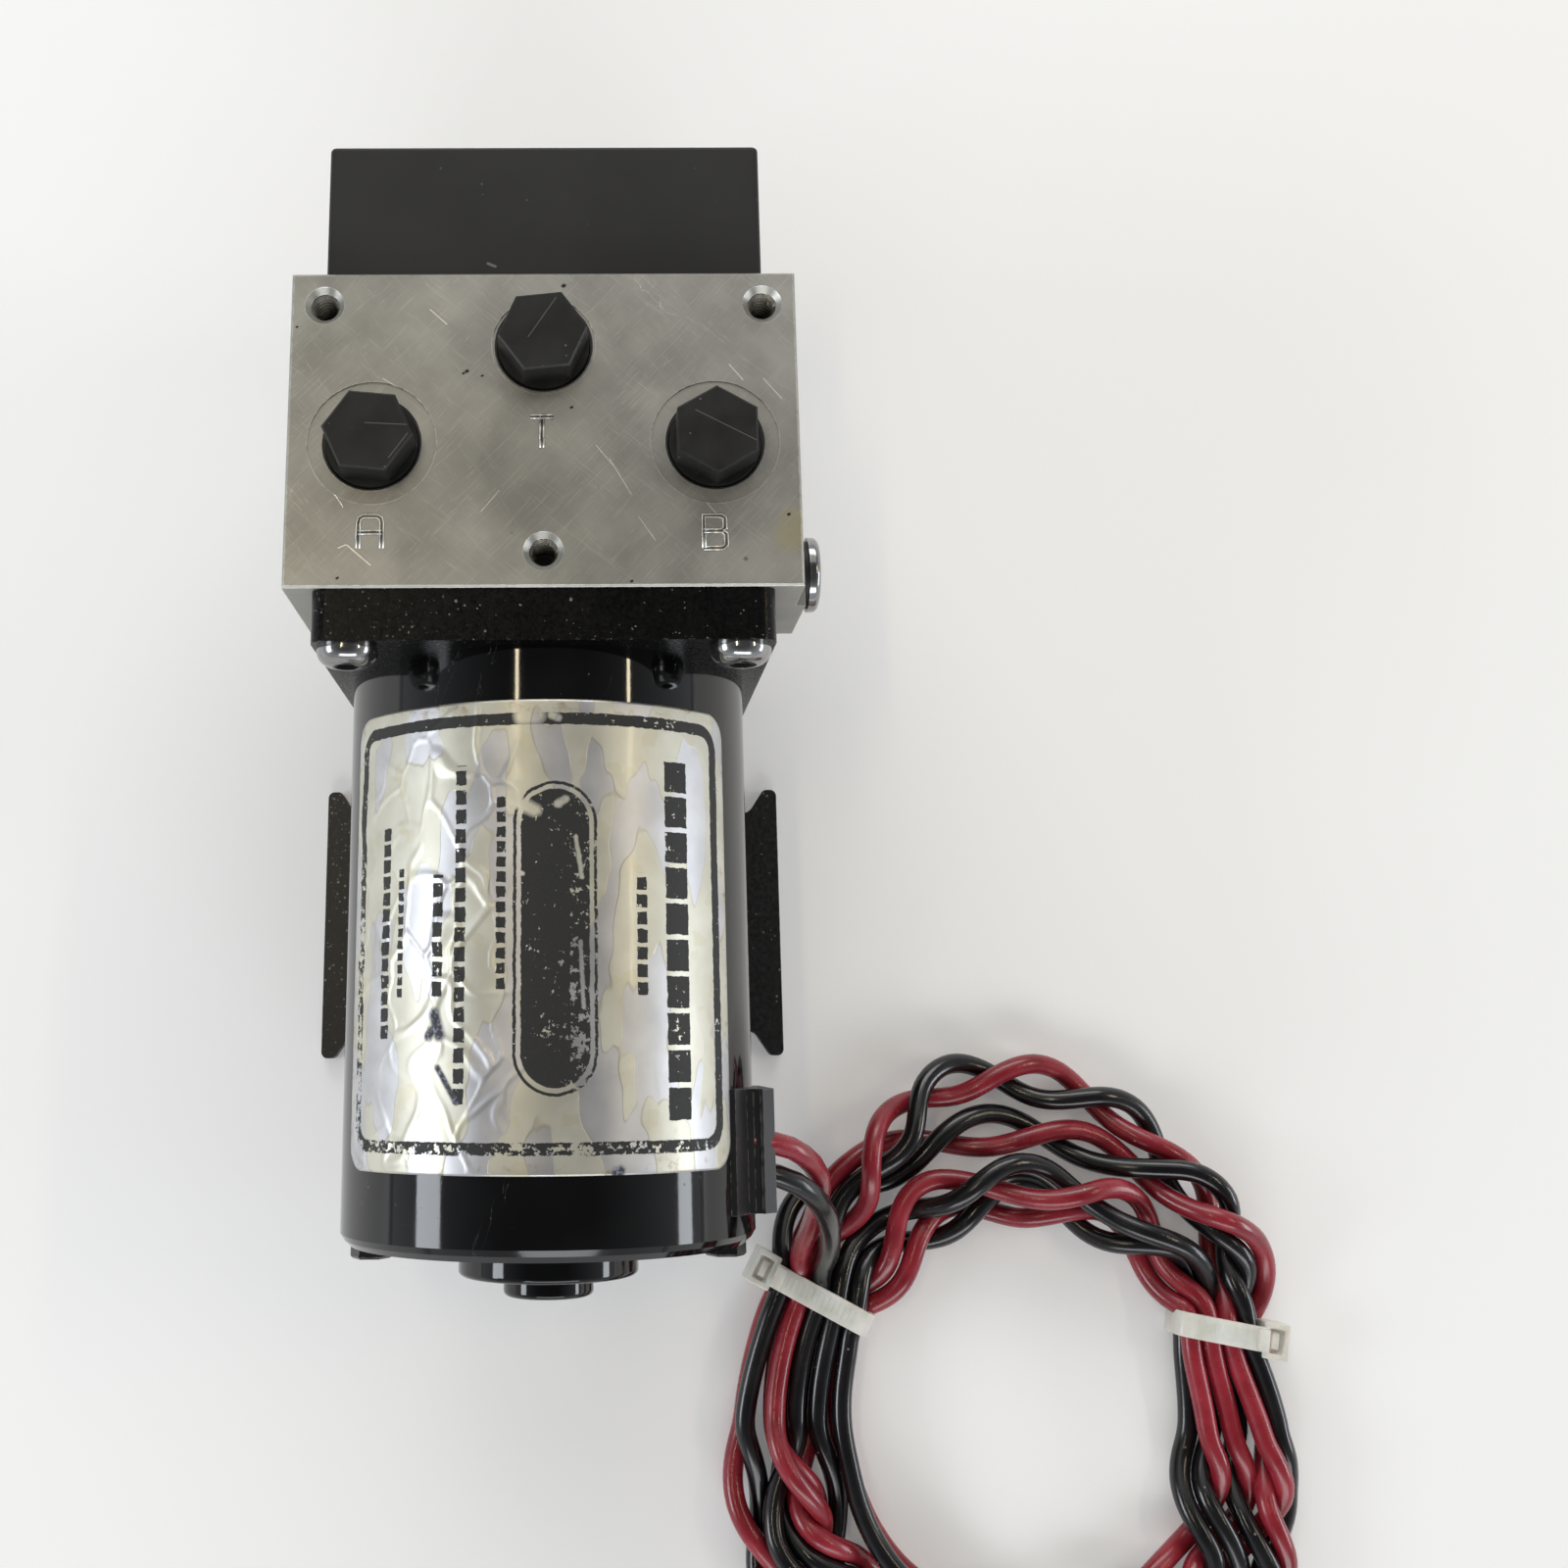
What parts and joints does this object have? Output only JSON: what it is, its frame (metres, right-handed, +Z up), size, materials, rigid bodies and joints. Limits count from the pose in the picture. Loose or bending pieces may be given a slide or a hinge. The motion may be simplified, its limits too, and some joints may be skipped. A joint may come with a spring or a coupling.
{
  "type": "reversing hydraulic pump set",
  "caption": "Reversing hydraulic pump set: tube-shaped motor on a foot bracket, port block with plugged ports, square reservoir and a coiled lead.",
  "frame": {"origin": "middle of the bracket's four holes, on the surface the pump stands on", "axes": "+X to the side plug and the lead's coil, +Y along the motor from its tail to the reservoir, +Z up, towards the port face"},
  "size_m": [0.1995, 0.3145, 0.0903],
  "materials": {
    "block_aluminium": "machined, matt",
    "motor_paint": "gloss black",
    "cast_paint": "speckled black",
    "bracket_paint": "worn black",
    "reservoir_black": "satin black",
    "moulded_black": "satin",
    "zinc_steel": "zinc plated",
    "ground_steel": "ground",
    "laminations": "dull",
    "ferrite": "matt",
    "copper": "enamelled",
    "bronze": "sintered",
    "brass_sheet": "satin",
    "carbon": "matt",
    "board": "matt",
    "iron": "ground",
    "seal_rubber": "matt",
    "red_insulation": "satin",
    "black_insulation": "gloss",
    "lead_bundle": "satin",
    "nylon": "translucent"
  },
  "bodies": {
    "housing": {"mounting_bracket": "bracket_paint", "motor_can": "motor_paint", "drive_end_bell": "cast_paint", "flange_screws": "zinc_steel", "tail_end_bell": "motor_paint", "through_bolts": "zinc_steel", "lead_grommet": "moulded_black", "magnet_upper": "ferrite", "magnet_lower": "ferrite", "bearing_outer_ring": "ground_steel", "bearing_balls": "ground_steel", "tail_bush": "bronze", "brush_board": "board", "brush_holders": "brass_sheet", "brushes": "carbon", "brush_springs": "ground_steel", "shaft_seal": "seal_rubber", "manifold_block": "block_aluminium", "port_plug_a": "moulded_black", "port_plug_b": "moulded_black", "port_plug_t": "moulded_black", "check_seat_a": "ground_steel", "check_seat_b": "ground_steel", "check_spring_a": "ground_steel", "check_spring_b": "ground_steel", "side_plug": "zinc_steel", "side_plug_seal": "seal_rubber", "passage_plugs": "zinc_steel", "idler_pin": "ground_steel", "pump_body": "iron", "pump_end_plate": "iron", "pump_screws": "zinc_steel", "intake_strainer": "brass_sheet", "reservoir": "reservoir_black", "reservoir_gasket": "seal_rubber", "reservoir_screws": "zinc_steel", "lead_red": "red_insulation", "lead_black": "black_insulation", "lead_coil": "lead_bundle", "cable_tie_left": "nylon", "cable_tie_right": "nylon"},
    "rotor": {"motor_shaft": "ground_steel", "armature_core": "laminations", "armature_winding": "copper", "commutator": "copper", "bearing_inner_ring": "ground_steel", "shaft_coupling": "ground_steel", "pump_shaft": "ground_steel", "drive_gear": "ground_steel"},
    "idler": {"idler_gear": "ground_steel"},
    "spool": {"shuttle_spool": "ground_steel"},
    "poppet_a": {"check_poppet_a": "ground_steel"},
    "poppet_b": {"check_poppet_b": "ground_steel"}
  },
  "joints": [
    {"name": "motor_spin", "type": "hinge", "parent": "housing", "child": "rotor", "pos_m": [0, 0, 0.0415], "axis": [0, 1, 0], "continuous": true},
    {"name": "idler_gear_spin", "type": "hinge", "parent": "housing", "child": "idler", "pos_m": [0, 0, 0.02335], "axis": [0, 1, 0], "continuous": true},
    {"name": "shuttle_slide", "type": "slide", "parent": "housing", "child": "spool", "axis": [1, 0, 0], "range_m": [-0.0015, 0.0015]},
    {"name": "check_poppet_a_slide", "type": "slide", "parent": "housing", "child": "poppet_a", "axis": [-1, 0, 0], "range_m": [0, 0.002], "stiffness_N_per_m": 300, "springref_m": -0.003, "deforming": ["check_spring_a"]},
    {"name": "check_poppet_b_slide", "type": "slide", "parent": "housing", "child": "poppet_b", "axis": [1, 0, 0], "range_m": [0, 0.002], "stiffness_N_per_m": 300, "springref_m": -0.003, "deforming": ["check_spring_b"]}
  ],
  "couplings": [
    {"joint": "idler_gear_spin", "follows": "motor_spin", "ratio": -1}
  ]
}
